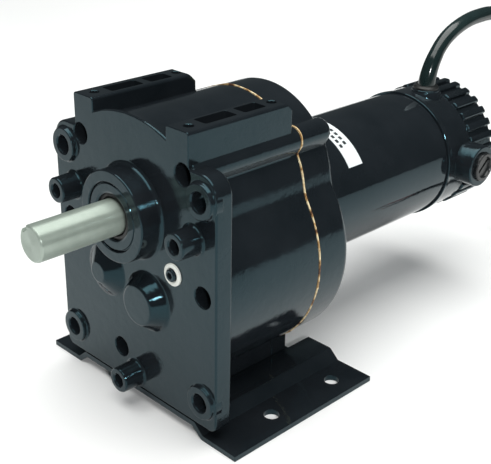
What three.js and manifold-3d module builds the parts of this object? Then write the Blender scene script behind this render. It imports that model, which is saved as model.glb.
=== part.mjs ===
// Parallel-shaft geared DC motor, in millimetres, +Z up.
// A cast gear case holds three spur stages. A permanent-magnet motor is bolted to its back, and a
// pressed steel base plate carries it. The output shaft points along -Y, the motor lies along +Y.
import * as THREE from 'three';
import { mergeVertices } from 'three/addons/utils/BufferGeometryUtils.js';
import Module from 'manifold-3d';

// ---- Driving dimensions ----
// Inside the "gear frame" Y = 0 is the machined front face and the output shaft axis is X = Z = 0.
const SHAFT_R = 9.525;          // 3/4 inch output shaft
const SHAFT_TIP_Y = -59.5;
const FLOOR_Z = -113.5;         // underside of the base plate flanges
const BELL_REAR_Y = 274;
const FACE_HALF_W = 63.7;
const FACE_BOTTOM_Z = -104.85;
const FACE_SHOULDER_Z = 35;
const FACE_THICK = 11;
const CASE_R = 63.7;            // big round of the gear case
const CASE_Z = -36;             // centre of that round
const TOP_R = 50.5;             // smaller round about the output shaft
const RIDGE_R = 7.2;            // screw ridges on the shoulders
const CROWN = { r: 75, top: 51.2, y1: 13 };   // flatter edge of the face between the rails
const FOOT = { halfW: 30, y0: 6, y1: 88, top: -60 };  // block that stands on the base plate
const WALL = 5;
const SEAM_Y = 75;
const GASKET_T = 0.8;
const COVER_REAR_Y = 100;
const CAVITY_Y = 12;            // inside of the front wall
const COVER_WALL_Y = 90;        // inside of the rear wall
const BOSS_Y = -12.6;           // front plane of the output bearing boss and of the standoffs
const RAIL_TOP_Z = 52.7;
const RAIL_X = [28.5, 44.5];
const RAIL_REAR_Y = 71;
const RAIL_POCKETS = { y: [[15, 36], [41, 56]], floor: 40, inner: 2.6, outer: 4.4 };
const RAIL_TAPPED = { x: 36.5, y: [7.5, 63], r: 2.6 };
const BASE_T = 3;
const BASE_WEB_Z = -105;
const BASE_HALF_W = 78;
const BASE_LEN = 108;
const CAN_R = 40.4;
const CAN_REAR_Y = 223.5;
const BELL_R = 41.2;
const BRUSH_Y = 245;
const CABLE_R = 4.75;
const CABLE_EXIT = { x: 6, y: 241 };
const SEAL = { inner: SHAFT_R + 0.1, outer: 18.4, y0: -12.2, y1: -5 };
const BEARING = { inner: SHAFT_R + 0.03, outer: 20.64, y0: -4.5, y1: 6.6 };
const FRONT_RACE = { y0: 91.2, y1: 98.2 };
const REAR_RACE = { y0: 262, y1: 269 };
const RACE_R = [4.1, 6, 8.5, 11];           // inner race, then outer race, of the motor bearings
const MOTOR_SHAFT_R = 4;
const IDLER_R = 4;
const BUSH_R = { inner: 4.12, outer: 7 };
const BUSH_BOSS_R = 11.5;
const HOLE_GAP = 0.3;           // radial clearance round screws and turning parts
const SLIP = 0.02;              // radial clearance of a gear on its shaft
const KEY = { width: 4.76, sink: 2.6, length: 32, turn: 128 };
const MAGNET = { inner: 31, outer: 37.5, y0: 128, y1: 205, half: 65 };
const RIBS = { count: 30, root: 39.6, crest: 42, foot: 36.6, y0: 249 };
const BRUSH_BOSS = { base: 12, face: 13.5, reach: 52, bore: 9.6 };
const BRUSH = { from: 12.5, to: 26, halfY: 4, halfZ: 3 };
const CAP = { r: 9.3, y0: 48, y1: 54.4, slot: -40 };
const COMMUTATOR = { r: 12.2, y0: 234, y1: 256 };
const STACK = { r: 30.2, y0: 132, y1: 201, slots: 12, slotDepth: 9, slotHalf: 2 };
const LABEL = { y0: 132, y1: 144, from: 34, to: 92 };
const CABLE_BORE = 6.2;
const LEAD_R = 1.5;

// Axes of the gear train as [x, z], and its three stages, driver first.
const OUT = [0, 0];
const MOTOR = [0, -24.3];
const PINION_TEETH = 14;
const STAGES = [
  { module: 1.0, teeth: 42, y0: 62.5, y1: 72.5 },
  { module: 1.25, teeth: 42, y0: 45, y1: 58 },
  { module: 1.5, teeth: 51, y0: 22, y1: 40 },
];
const centreDistance = (stage) => stage.module * (PINION_TEETH + stage.teeth) / 2;
const FIRST = meet(OUT, centreDistance(STAGES[2]), [-22.21, -41.36], centreDistance(STAGES[1]));
const SECOND = meet(FIRST, centreDistance(STAGES[1]), MOTOR, centreDistance(STAGES[0]));

// Where the two circles round a and b cross, on the left of the way from a to b.
function meet(a, ra, b, rb) {
  const gap = Math.hypot(b[0] - a[0], b[1] - a[1]);
  const along = (ra * ra - rb * rb + gap * gap) / (2 * gap);
  const off = Math.sqrt(Math.max(ra * ra - along * along, 0));
  const [ux, uz] = [(b[0] - a[0]) / gap, (b[1] - a[1]) / gap];
  return [a[0] + ux * along - uz * off, a[1] + uz * along + ux * off];
}

// ---- Solids ----
const wasm = await Module();
wasm.setup();

// A closed geometry as a solid: shared corners merged, slivers dropped, faces turned outward.
function solid(geometry) {
  geometry.deleteAttribute('normal');
  geometry.deleteAttribute('uv');
  const merged = mergeVertices(geometry, 1e-4);
  const points = merged.getAttribute('position').array;
  const corners = [];
  let volume = 0;
  for (let i = 0; i < merged.index.count; i += 3) {
    const [a, b, c] = [0, 1, 2].map((k) => merged.index.getX(i + k));
    if (a === b || b === c || a === c) continue;
    corners.push(a, b, c);
    const [p, q, r] = [a, b, c].map((v) => new THREE.Vector3().fromArray(points, 3 * v));
    volume += p.dot(q.cross(r));
  }
  if (volume < 0) corners.reverse();
  return new wasm.Manifold(new wasm.Mesh({
    numProp: 3,
    vertProperties: new Float32Array(points),
    triVerts: new Uint32Array(corners),
  }));
}

const join = (first, ...rest) => rest.reduce((whole, piece) => whole.add(piece), first);
const cut = (first, ...rest) => rest.reduce((whole, piece) => whole.subtract(piece), first);

// A profile of [radius, y] points turned about the Y axis at [x, z].
function turned(profile, [x, z] = OUT, steps = 32) {
  const points = profile.map(([r, y]) => new THREE.Vector2(r, y));
  return solid(new THREE.LatheGeometry(points, steps)).translate([x, 0, z]);
}

function rod(r, y0, y1, at = OUT, steps = 24) {
  return turned([[0, y0], [r, y0], [r, y1], [0, y1]], at, steps);
}

function ring(inner, outer, y0, y1, at = OUT, steps = 32) {
  return turned([[inner, y0], [outer, y0], [outer, y1], [inner, y1], [inner, y0]], at, steps);
}

// A cone from radius r0 at y0 to radius r1 at y1.
function cone(r0, y0, r1, y1, at, steps = 24) {
  return turned([[0, y0], [r0, y0], [r1, y1], [0, y1]], at, steps);
}

// An outline in X and Z, pushed along Y.
function prism(outline, y0, y1, curveSegments = 12) {
  const geometry = new THREE.ExtrudeGeometry(outline, {
    depth: y1 - y0, bevelEnabled: false, curveSegments,
  });
  return solid(geometry.rotateX(Math.PI / 2).translate(0, y1, 0));
}

function block([x0, x1], [y0, y1], [z0, z1]) {
  const box = new THREE.BoxGeometry(x1 - x0, y1 - y0, z1 - z0);
  return solid(box.translate((x0 + x1) / 2, (y0 + y1) / 2, (z0 + z1) / 2));
}

// A turned profile stood upright, its length now along Z, or laid along X towards a side.
const upright = (body, x, y) => body.rotate([90, 0, 0]).translate([x, y, 0]);
const post = (r, z0, z1, [x, y], steps) => upright(rod(r, z0, z1, OUT, steps), x, y);
const sideways = (body, side, y, z) => body.rotate([0, 0, -90 * side]).translate([0, y, z]);

function roundedRect(x0, x1, z0, z1, radii) {
  const [bottomLeft, bottomRight, topRight, topLeft] = radii;
  const shape = new THREE.Shape();
  shape.moveTo(x0 + bottomLeft, z0);
  shape.lineTo(x1 - bottomRight, z0);
  shape.absarc(x1 - bottomRight, z0 + bottomRight, bottomRight, -Math.PI / 2, 0);
  shape.lineTo(x1, z1 - topRight);
  shape.absarc(x1 - topRight, z1 - topRight, topRight, 0, Math.PI / 2);
  shape.lineTo(x0 + topLeft, z1);
  shape.absarc(x0 + topLeft, z1 - topLeft, topLeft, Math.PI / 2, Math.PI);
  shape.lineTo(x0, z0 + bottomLeft);
  shape.absarc(x0 + bottomLeft, z0 + bottomLeft, bottomLeft, Math.PI, 1.5 * Math.PI);
  return shape;
}

// ---- The scene graph ----
const part = new THREE.Group();
const gearFrame = new THREE.Group();
gearFrame.position.set(0, -(SHAFT_TIP_Y + BELL_REAR_Y) / 2, -FLOOR_Z);
part.add(gearFrame);

const paint = (color, roughness, metalness) => new THREE.MeshStandardMaterial({ color, roughness, metalness });
const blackPaint = paint(0x0d1214, 0.22, 0.0);
const steel = paint(0x9a9c98, 0.35, 1.0);
const darkSteel = paint(0x2a2c2e, 0.4, 1.0);
const bronze = paint(0xa5793f, 0.45, 1.0);
const copper = paint(0xb05f3a, 0.4, 1.0);
const gasketPaper = paint(0xb08d4a, 0.8, 0.0);
const nylon = paint(0xe8e6dc, 0.5, 0.0);
const rubber = paint(0x101010, 0.7, 0.0);
const labelFilm = paint(0xe4e6e6, 0.5, 0.0);
const carbon = paint(0x1c1c1c, 0.9, 0.0);
const ferrite = paint(0x33322f, 0.8, 0.2);

function add(name, body, material) {
  const { vertProperties, triVerts } = body.getMesh();
  const geometry = new THREE.BufferGeometry();
  geometry.setAttribute('position', new THREE.BufferAttribute(new Float32Array(vertProperties), 3));
  geometry.setIndex(new THREE.BufferAttribute(new Uint32Array(triVerts), 1));
  const mesh = new THREE.Mesh(geometry, material);
  mesh.name = name;
  gearFrame.add(mesh);
}

// ---- Places shared by the case, the cover and the screws ----
const CORNER_HOLES = [[-53.65, 21.74], [53.65, 21.74], [-53.65, -89.28], [53.65, -89.28]];
const CASE_SCREWS = [[-40.2, 31], [40.2, 31], [54, -29], [-53, -20], [-12.2, -85.5]];
const STANDOFFS = [[-47.6, 0], [47.6, 0], [0, -96.4]];
const FILL_PLUG = [32.6, -24.2];
const BASE_SCREWS = [[-21, 22], [21, 22], [-21, 64], [21, 64]];
const BASE_HOLES = [[-65, 40], [65, 40], [-65, 89], [65, 89]];
const BOLT_CIRCLE = 33.5;
const THROUGH_BOLTS = [108, 288].map(THREE.MathUtils.degToRad)
  .map((a) => [MOTOR[0] + BOLT_CIRCLE * Math.cos(a), MOTOR[1] + BOLT_CIRCLE * Math.sin(a)]);

// Outer outline of the gear case, drawn in by a margin: two rounds and two screw ridges.
function caseSolid(inset, y0, y1) {
  const big = rod(CASE_R - inset, y0, y1, [0, CASE_Z], 44);
  const top = rod(TOP_R - inset, y0, y1, OUT, 32);
  const ridges = CASE_SCREWS.slice(0, 2).map((at) => rod(RIDGE_R - inset, y0, y1, at, 12));
  return join(big, top, ...ridges);
}

function screwPosts(y0, y1) {
  return CASE_SCREWS.map((at) => rod(8, y0, y1, at, 6)).reduce((a, b) => a.add(b));
}

function caseCavity(y0, y1) {
  const big = rod(CASE_R - WALL, y0, y1, [0, CASE_Z], 20);
  const top = rod(TOP_R - WALL, y0, y1, OUT, 20);
  return cut(join(big, top), screwPosts(y0 - 1, y1 + 1));
}

// One mounting rail on top of the case, with a chamfered rear end and two cored pockets.
function rail(side) {
  const [x0, x1] = RAIL_X;
  const spanX = side > 0 ? [x0, x1] : [-x1, -x0];
  const body = block(spanX, [0, RAIL_REAR_Y], [20, RAIL_TOP_Z]);
  const slope = block([-60, 60], [0, 30], [0, 30]).rotate([45, 0, 0]).translate([0, RAIL_REAR_Y, 47.5]);
  const [inner, outer] = [x0 + RAIL_POCKETS.inner, x1 - RAIL_POCKETS.outer];
  const pocketX = side > 0 ? [inner, outer] : [-outer, -inner];
  const pockets = RAIL_POCKETS.y.map((span) => block(pocketX, span, [RAIL_POCKETS.floor, RAIL_TOP_Z + 1]));
  const tapped = RAIL_TAPPED.y.map((y) => post(RAIL_TAPPED.r, RAIL_POCKETS.floor, 80, [side * RAIL_TAPPED.x, y], 10));
  return cut(body, slope, ...pockets, ...tapped);
}

// The face's upper edge between the rails, on a larger round than the case behind it.
function crown() {
  const centre = CROWN.top - CROWN.r;
  const reach = RAIL_X[0] + 0.5;
  const side = Math.acos(reach / CROWN.r);
  const shape = new THREE.Shape();
  shape.moveTo(-reach, 20);
  shape.lineTo(reach, 20);
  shape.absarc(0, centre, CROWN.r, side, Math.PI - side);
  return prism(shape, 0, CROWN.y1, 6);
}

// ---- Gear case front half ----
function frontHousing() {
  const [x0, x1] = [-FACE_HALF_W, FACE_HALF_W];
  const plate = prism(roundedRect(x0, x1, FACE_BOTTOM_Z, FACE_SHOULDER_Z, [5, 5, 11, 11]), 0, FACE_THICK, 5);
  const barrel = caseSolid(0, 0, SEAM_Y);
  const foot = block([-FOOT.halfW, FOOT.halfW], [FOOT.y0, SEAM_Y], [BASE_WEB_Z, FOOT.top]);
  const bearingBoss = turned([
    [0, 20], [26, 20], [26, 0], [24.8, -2], [24.5, BOSS_Y], [0, BOSS_Y],
  ], OUT, 36);
  const bosses = [
    cone(11.6, -8, 16, 0.01, FIRST, 16),
    cone(6.6, -6.5, 14.3, 0.01, SECOND, 16),
    rod(BUSH_BOSS_R, 0, 20.5, FIRST, 14),
    rod(BUSH_BOSS_R, 0, 20.5, SECOND, 14),
    ...STANDOFFS.map((at) => turned([
      [0, 5], [8.5, 5], [8.5, 0], [7.4, -1.4], [7.2, -11.6], [6.3, BOSS_Y], [0, BOSS_Y],
    ], at, 12)),
    ...CORNER_HOLES.map((at) => cone(9.2, -2.4, 10, 1, at, 14)),
  ];
  const outside = join(plate, barrel, crown(), foot, bearingBoss, rail(-1), rail(1));
  const hollow = cut(outside, caseCavity(CAVITY_Y, SEAM_Y + 1));
  const holes = [
    rod(SEAL.outer + 0.05, BOSS_Y - 1, BEARING.y0 + 1, OUT, 32),
    rod(BEARING.outer + 0.05, BEARING.y0, 22, OUT, 32),
    ...CORNER_HOLES.map((at) => rod(5, -4, FACE_THICK + 1, at, 12)),
    ...STANDOFFS.map((at) => rod(3.6, BOSS_Y - 1, 6, at, 8)),
    ...CASE_SCREWS.map((at) => rod(5.6, -1, 26, at, 12)),
    ...CASE_SCREWS.map((at) => rod(3 + HOLE_GAP, 20, SEAM_Y + 1, at, 8)),
    rod(3.6, -1, CAVITY_Y + 1, FILL_PLUG, 12),
    rod(BUSH_R.outer, 9, 23, FIRST, 16),
    rod(BUSH_R.outer, 9, 23, SECOND, 16),
    ...BASE_SCREWS.map((at) => post(2.2 + HOLE_GAP, -110, -94.5, at, 8)),
  ];
  return cut(join(hollow, ...bosses), ...holes);
}

// ---- Rear cover, which carries the motor ----
function rearCover() {
  const y0 = SEAM_Y + GASKET_T;
  const shell = join(
    caseSolid(0, y0, COVER_REAR_Y - 5),
    caseSolid(2, COVER_REAR_Y - 5, COVER_REAR_Y - 2),
    caseSolid(4.5, COVER_REAR_Y - 2, COVER_REAR_Y),
    block([-FOOT.halfW, FOOT.halfW], [y0, FOOT.y1], [BASE_WEB_Z, FOOT.top]),
  );
  const cavity = caseCavity(y0 - 1, COVER_WALL_Y);
  const bosses = [
    rod(11, 80, COVER_WALL_Y + 1, FIRST, 12),
    rod(11, 80, COVER_WALL_Y + 1, SECOND, 12),
    rod(15, 78, COVER_WALL_Y + 1, OUT, 16),
  ];
  const holes = [
    ...CASE_SCREWS.map((at) => rod(2.5 + HOLE_GAP, y0 - 1, 96, at, 8)),
    rod(BUSH_R.outer, 70, 88, FIRST, 16),
    rod(BUSH_R.outer, 70, 88, SECOND, 16),
    rod(11.5, 70, 87, OUT, 20),
    rod(9, 70, COVER_REAR_Y + 1, MOTOR, 20),
    rod(RACE_R[3] + 0.05, 91, COVER_REAR_Y + 1, MOTOR, 20),
    ...THROUGH_BOLTS.map((at) => rod(2 + HOLE_GAP, 93, COVER_REAR_Y + 1, at, 8)),
  ];
  return cut(join(cut(shell, cavity), ...bosses), ...holes);
}

add('front_housing', frontHousing(), blackPaint);
add('rear_cover', rearCover(), blackPaint);

// ---- Gasket between the halves, with a ragged squeezed-out edge ----
function gasket() {
  const sheet = caseSolid(-0.35, SEAM_Y, SEAM_Y + GASKET_T);
  const window = caseCavity(SEAM_Y - 1, SEAM_Y + 2);
  return cut(sheet, window, ...CASE_SCREWS.map((at) => rod(3.4, 70, 80, at, 8)));
}
add('case_gasket', gasket(), gasketPaper);

// ---- Fasteners ----
// Socket head cap screw with its head at y0 and its tip at y1.
function capScrew(at, y0, y1) {
  const body = turned([[0, y0], [4.7, y0], [4.7, y0 + 5], [2.5, y0 + 5], [2.5, y1], [0, y1]], at, 12);
  return cut(body, rod(2.4, y0 - 1, y0 + 3, at, 6));
}
CASE_SCREWS.forEach((at, i) => add(`case_screw_${i + 1}`, capScrew(at, 20.7, 95), darkSteel));

function fillPlug() {
  const body = turned([[0, -2.6], [3.3, -2.6], [3.3, 11], [0, 11]], FILL_PLUG, 20);
  return cut(body, rod(1.9, -4, -0.4, FILL_PLUG, 6));
}
add('oil_plug', fillPlug(), darkSteel);
add('oil_plug_washer', ring(3.6, 6, -1.3, 0, FILL_PLUG, 28), nylon);

// ---- Base plate and its screws ----
function baseProfile() {
  const [web, foot] = [BASE_WEB_Z, FLOOR_Z + BASE_T];
  const shape = new THREE.Shape();
  shape.moveTo(-BASE_HALF_W, FLOOR_Z);
  shape.lineTo(-52, FLOOR_Z);
  shape.lineTo(-47, web - BASE_T);
  shape.lineTo(47, web - BASE_T);
  shape.lineTo(52, FLOOR_Z);
  shape.lineTo(BASE_HALF_W, FLOOR_Z);
  shape.lineTo(BASE_HALF_W, foot);
  shape.lineTo(53, foot);
  shape.lineTo(48, web);
  shape.lineTo(-48, web);
  shape.lineTo(-53, foot);
  shape.lineTo(-BASE_HALF_W, foot);
  return shape;
}

function basePlate() {
  const sheet = prism(baseProfile(), 0, BASE_LEN);
  const notch = block([-30, 30], [90, 120], [-120, -95]);
  return cut(
    sheet,
    notch,
    ...BASE_HOLES.map((at) => post(4.35, -120, -95, at, 14)),
    ...BASE_SCREWS.map((at) => post(2.2 + HOLE_GAP, -120, -95, at, 8)),
  );
}
add('base_plate', basePlate(), blackPaint);

BASE_SCREWS.forEach(([x, y], i) => {
  const seat = BASE_WEB_Z - BASE_T;
  const body = turned([
    [0, seat - 3.2], [3.6, seat - 3.2], [4.6, seat - 2.4], [4.6, seat], [2.2, seat], [2.2, -95], [0, -95],
  ], OUT, 10);
  add(`base_screw_${i + 1}`, upright(cut(body, rod(1.7, seat - 5, seat - 1.4, OUT, 6)), x, y), darkSteel);
});

// ---- Bearings and bushes of the gear train ----
add('output_bearing_outer', ring(17.4, BEARING.outer, BEARING.y0, BEARING.y1, OUT, 32), steel);
add('output_oil_seal', turned([
  [SEAL.inner, SEAL.y0 + 1.4], [12, SEAL.y0 + 1.4], [12.6, SEAL.y0],
  [SEAL.outer, SEAL.y0], [SEAL.outer, SEAL.y1], [SEAL.inner, SEAL.y1], [SEAL.inner, SEAL.y0 + 1.4],
], OUT, 32), rubber);
add('output_rear_bush', ring(7.13, 11.2, 80, 86.7, OUT, 20), bronze);
add('idler_1_front_bush', ring(BUSH_R.inner, BUSH_R.outer - 0.1, 10, 20, FIRST, 16), bronze);
add('idler_1_rear_bush', ring(BUSH_R.inner, BUSH_R.outer - 0.1, 80, 87.7, FIRST, 16), bronze);
add('idler_2_front_bush', ring(BUSH_R.inner, BUSH_R.outer - 0.1, 10, 20, SECOND, 16), bronze);
add('idler_2_rear_bush', ring(BUSH_R.inner, BUSH_R.outer - 0.1, 80, 87.7, SECOND, 16), bronze);

// ---- Gears ----
const PRESSURE_ANGLE = THREE.MathUtils.degToRad(20);
const ADDENDUM = 0.8;
const DEDENDUM = 1.25;
const BACKLASH = 0.14;
const involute = (angle) => Math.tan(angle) - angle;

// A spur gear with one tooth centred on `phase`, measured from +X towards +Z.
function gear(module, teeth, at, phase, y0, y1, flankRadii) {
  const pitch = module * teeth / 2;
  const base = pitch * Math.cos(PRESSURE_ANGLE);
  const half = (Math.PI * module / 2 - BACKLASH) / 2 / pitch + involute(PRESSURE_ANGLE);
  const halfAngle = (r) => half - involute(Math.acos(Math.min(base / r, 1)));
  const radii = flankRadii.map((step) => pitch + step * module);
  const outline = [];
  for (let tooth = 0; tooth < teeth; tooth += 1) {
    const centre = phase + (2 * Math.PI * tooth) / teeth;
    radii.forEach((r) => outline.push([r, centre - halfAngle(r)]));
    [...radii].reverse().forEach((r) => outline.push([r, centre + halfAngle(r)]));
  }
  const shape = new THREE.Shape(outline.map(([r, a]) => new THREE.Vector2(r * Math.cos(a), r * Math.sin(a))));
  return prism(shape, y0, y1).translate([at[0], 0, at[1]]);
}
const PINION_FLANK = [-DEDENDUM, -0.3, ADDENDUM];
const GEAR_FLANK = [-DEDENDUM, ADDENDUM];

// Phase of the driven gear that puts its tooth gap on the driver's tooth.
function meshPhase(driverAt, drivenAt, driverPhase, driverTeeth, drivenTeeth) {
  const line = Math.atan2(drivenAt[1] - driverAt[1], drivenAt[0] - driverAt[0]);
  return line + Math.PI - (driverPhase - line) * (driverTeeth / drivenTeeth) + Math.PI / drivenTeeth;
}

// Gears bored for their shafts. `steps` is the number of sides of the shaft.
function wheel(stage, at, phase, bore, steps) {
  const { module, teeth, y0, y1 } = stage;
  const blank = gear(module, teeth, at, phase, y0, y1, GEAR_FLANK);
  return cut(blank, rod(bore, y0 - 1, y1 + 1, at, steps));
}

function pinion(stage, at, phase, bore, y0, y1) {
  const blank = gear(stage.module, PINION_TEETH, at, phase, y0, y1, PINION_FLANK);
  return cut(blank, rod(bore, y0 - 1, y1 + 1, at, 16));
}

const motorPhase = 0;
const secondPhase = meshPhase(MOTOR, SECOND, motorPhase, PINION_TEETH, STAGES[0].teeth);
const firstPhase = meshPhase(SECOND, FIRST, 0, PINION_TEETH, STAGES[1].teeth);
const outputPhase = meshPhase(FIRST, OUT, 0, PINION_TEETH, STAGES[2].teeth);

// ---- Output shaft and what turns with it ----
function outputShaft() {
  const body = turned([
    [0, SHAFT_TIP_Y], [SHAFT_R - 0.9, SHAFT_TIP_Y], [SHAFT_R, SHAFT_TIP_Y + 0.9], [SHAFT_R, 7],
    [11.5, 7], [11.5, 19], [SHAFT_R, 19], [SHAFT_R, 42], [7, 42], [7, 86.5], [0, 86.5],
  ], OUT, 32);
  const [half, depth] = [KEY.width / 2, SHAFT_R - KEY.sink];
  const slot = block([-half, half], [SHAFT_TIP_Y - 1, SHAFT_TIP_Y + KEY.length], [depth, SHAFT_R + 2]);
  const flat = block([-3, 3], [20, 43], [SHAFT_R - 2, SHAFT_R + 2]);
  return cut(body, slot.rotate([0, 90 - KEY.turn, 0]), flat);
}
add('output_shaft', outputShaft(), steel);
add('output_bearing_inner', ring(BEARING.inner, 12.5, BEARING.y0, BEARING.y1, OUT, 32), steel);

add('output_gear', wheel(STAGES[2], OUT, outputPhase, SHAFT_R + 0.03, 32), darkSteel);

// ---- Idlers ----
function idler(name, at, bigStage, bigPhase, smallStage, smallPhase, small) {
  add(`${name}_shaft`, rod(IDLER_R, 10.5, 87.2, at, 16), steel);
  add(`${name}_gear`, wheel(bigStage, at, bigPhase, IDLER_R + SLIP, 16), darkSteel);
  add(`${name}_pinion`, pinion(smallStage, at, smallPhase, IDLER_R + SLIP, ...small), darkSteel);
}
idler('idler_1', FIRST, STAGES[1], firstPhase, STAGES[2], 0, [21.5, 42.5]);
idler('idler_2', SECOND, STAGES[0], secondPhase, STAGES[1], 0, [43.5, 60.5]);

// ---- Motor shell ----
add('motor_can', ring(CAN_R - 2.6, CAN_R, COVER_REAR_Y, CAN_REAR_Y, MOTOR, 44), blackPaint);

// Rating label: a thin curved strip on the can, left blank.
function label() {
  const [from, to] = [LABEL.from, LABEL.to].map(THREE.MathUtils.degToRad);
  const arc = new THREE.Shape();
  arc.absarc(0, 0, CAN_R + 0.45, from, to, false);
  arc.absarc(0, 0, CAN_R + 0.15, to, from, true);
  return prism(arc, LABEL.y0, LABEL.y1, 14).translate([MOTOR[0], 0, MOTOR[1]]);
}
add('rating_label', label(), labelFilm);

function magnet(side) {
  const middle = side > 0 ? 0 : 180;
  const [from, to] = [middle - MAGNET.half, middle + MAGNET.half].map(THREE.MathUtils.degToRad);
  const arc = new THREE.Shape();
  arc.absarc(0, 0, MAGNET.outer, from, to, false);
  arc.absarc(0, 0, MAGNET.inner, to, from, true);
  return prism(arc, MAGNET.y0, MAGNET.y1, 10).translate([MOTOR[0], 0, MOTOR[1]]);
}
add('magnet_right', magnet(1), ferrite);
add('magnet_left', magnet(-1), ferrite);

// ---- End bell: flange, ribbed rear half, brush bosses, bearing seat and cable boss ----
// The ribs are one lobed ring, open through its middle.
function ribRing() {
  const { count, root, crest, foot, y0 } = RIBS;
  const pitch = (2 * Math.PI) / count;
  const corners = [];
  for (let i = 0; i < count; i += 1) {
    [[root, -0.3], [crest, -0.24], [crest, 0.24], [root, 0.3]].forEach(([r, share]) => {
      const a = (i + 0.5 + share) * pitch;
      corners.push(new THREE.Vector2(r * Math.cos(a), r * Math.sin(a)));
    });
  }
  const lobes = prism(new THREE.Shape(corners), y0, BELL_REAR_Y).translate([MOTOR[0], 0, MOTOR[1]]);
  return cut(lobes, rod(foot, y0 - 1, BELL_REAR_Y + 1, MOTOR, 30));
}

function endBell() {
  const shell = turned([
    [0, REAR_RACE.y0], [13.5, REAR_RACE.y0], [16, 257], [33, 257], [37.8, 250], [37.8, CAN_REAR_Y],
    [BELL_R + 0.8, CAN_REAR_Y], [BELL_R + 0.8, CAN_REAR_Y + 3], [BELL_R - 0.4, CAN_REAR_Y + 4],
    [BELL_R - 0.4, 249], [38, 252], [38, 269], [17, 269], [15.5, 273.4], [0, 273.4],
  ], MOTOR, 30);
  const { base, face, reach, bore } = BRUSH_BOSS;
  const onBothSides = (body) => [-1, 1].map((side) => sideways(body, side, BRUSH_Y, MOTOR[1]));
  const brushBoss = turned([[0, 34], [base, 34], [face, 40], [face, reach], [0, reach]], OUT, 20);
  const cableAt = [CABLE_EXIT.x, CABLE_EXIT.y];
  const body = join(shell, ribRing(), ...onBothSides(brushBoss), post(9, 12, 18.6, cableAt, 16));
  const seat = (at) => rod(5.4, 266, 280, at, 10);
  return cut(
    body,
    rod(RACE_R[3] + 0.05, 255, REAR_RACE.y1 + 0.1, MOTOR, 20),
    ...onBothSides(rod(bore, 20, 60, OUT, 16)),
    post(CABLE_BORE, 5, 25, cableAt, 16),
    ...THROUGH_BOLTS.map((at) => rod(2 + HOLE_GAP, 220, 280, at, 8)),
    ...THROUGH_BOLTS.map(seat),
  );
}
add('end_bell', endBell(), blackPaint);

THROUGH_BOLTS.forEach((at, i) => {
  const body = turned([[0, 94], [2, 94], [2, 266], [4.4, 266], [4.4, 269], [3.6, 269.8], [0, 269.8]], at, 12);
  const slot = block([at[0] - 6, at[0] + 6], [268.6, 272], [at[1] - 0.6, at[1] + 0.6]);
  add(`through_bolt_${i + 1}`, cut(body, slot), steel);
});

// ---- Motor bearings ----
function race(name, inner, outer, { y0, y1 }) {
  add(name, ring(inner, outer, y0, y1, MOTOR, 20), steel);
}
race('motor_front_bearing_outer', RACE_R[2], RACE_R[3], FRONT_RACE);
race('motor_front_bearing_inner', RACE_R[0], RACE_R[1], FRONT_RACE);
race('motor_rear_bearing_outer', RACE_R[2], RACE_R[3], REAR_RACE);
race('motor_rear_bearing_inner', RACE_R[0], RACE_R[1], REAR_RACE);

// ---- Brush gear, one set on each side ----
// Coil spring along X from x0 to x1, as a square-cornered wire on a helix.
function coilSpring(r, wire, x0, x1, turns) {
  const steps = turns * 8;
  const points = [];
  for (let i = 0; i <= steps; i += 1) {
    const a = (2 * Math.PI * turns * i) / steps;
    points.push(new THREE.Vector3(x0 + ((x1 - x0) * i) / steps, r * Math.cos(a), r * Math.sin(a)));
  }
  return tube(points, wire, steps, 4);
}

// A round section of the given radius carried along a smooth line through the points.
function tube(points, radius, steps, sides) {
  const section = new THREE.Shape();
  for (let i = 0; i < sides; i += 1) {
    const a = (2 * Math.PI * i) / sides;
    const [x, y] = [radius * Math.cos(a), radius * Math.sin(a)];
    if (i === 0) section.moveTo(x, y);
    else section.lineTo(x, y);
  }
  const extrudePath = new THREE.CatmullRomCurve3(points, false, 'centripetal');
  return solid(new THREE.ExtrudeGeometry(section, { steps, bevelEnabled: false, extrudePath }));
}

[['right', 1], ['left', -1]].forEach(([word, side]) => {
  const place = (body) => body.rotate([0, 0, side > 0 ? 0 : 180]).translate([0, BRUSH_Y, MOTOR[1]]);
  const { from, to, halfY, halfZ } = BRUSH;
  const along = (body) => body.rotate([0, 0, -90]);
  const sleeve = along(turned([[0, 22], [7.6, 22], [7.6, 30], [9.3, 30], [9.3, 47.6], [0, 47.6]], OUT, 12));
  const channel = block([20, 60], [-halfY - 0.3, halfY + 0.3], [-halfZ - 0.3, halfZ + 0.3]);
  add(`brush_holder_${word}`, place(cut(sleeve, channel)), nylon);
  add(`brush_${word}`, place(block([from, to], [-halfY, halfY], [-halfZ, halfZ])), carbon);
  add(`brush_spring_${word}`, place(coilSpring(2.3, 0.4, 27, 47, 4)), steel);
  const cap = along(turned([
    [0, CAP.y0], [CAP.r, CAP.y0], [CAP.r, CAP.y1 - 1], [CAP.r - 0.5, CAP.y1],
    [CAP.r - 2.4, CAP.y1], [CAP.r - 2.9, CAP.y1 - 1.8], [0, CAP.y1 - 1.8],
  ], OUT, 18));
  const driverSlot = block([51, 56], [-6, 6], [-0.9, 0.9]).rotate([CAP.slot, 0, 0]);
  add(`brush_cap_${word}`, place(cut(cap, driverSlot)), carbon);
});

// ---- Armature: shaft, pinion, stack, windings and commutator ----
function armatureStack() {
  const slots = [];
  for (let i = 0; i < STACK.slots; i += 1) {
    const { r, slotDepth, slotHalf } = STACK;
    const slot = block([r - slotDepth, r + 2], [STACK.y0 - 1, STACK.y1 + 1], [-slotHalf, slotHalf]);
    slots.push(slot.rotate([0, (360 / STACK.slots) * i, 0]).translate([MOTOR[0], 0, MOTOR[1]]));
  }
  return cut(ring(MOTOR_SHAFT_R + HOLE_GAP, STACK.r, STACK.y0, STACK.y1, MOTOR, 24), ...slots);
}

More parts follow.
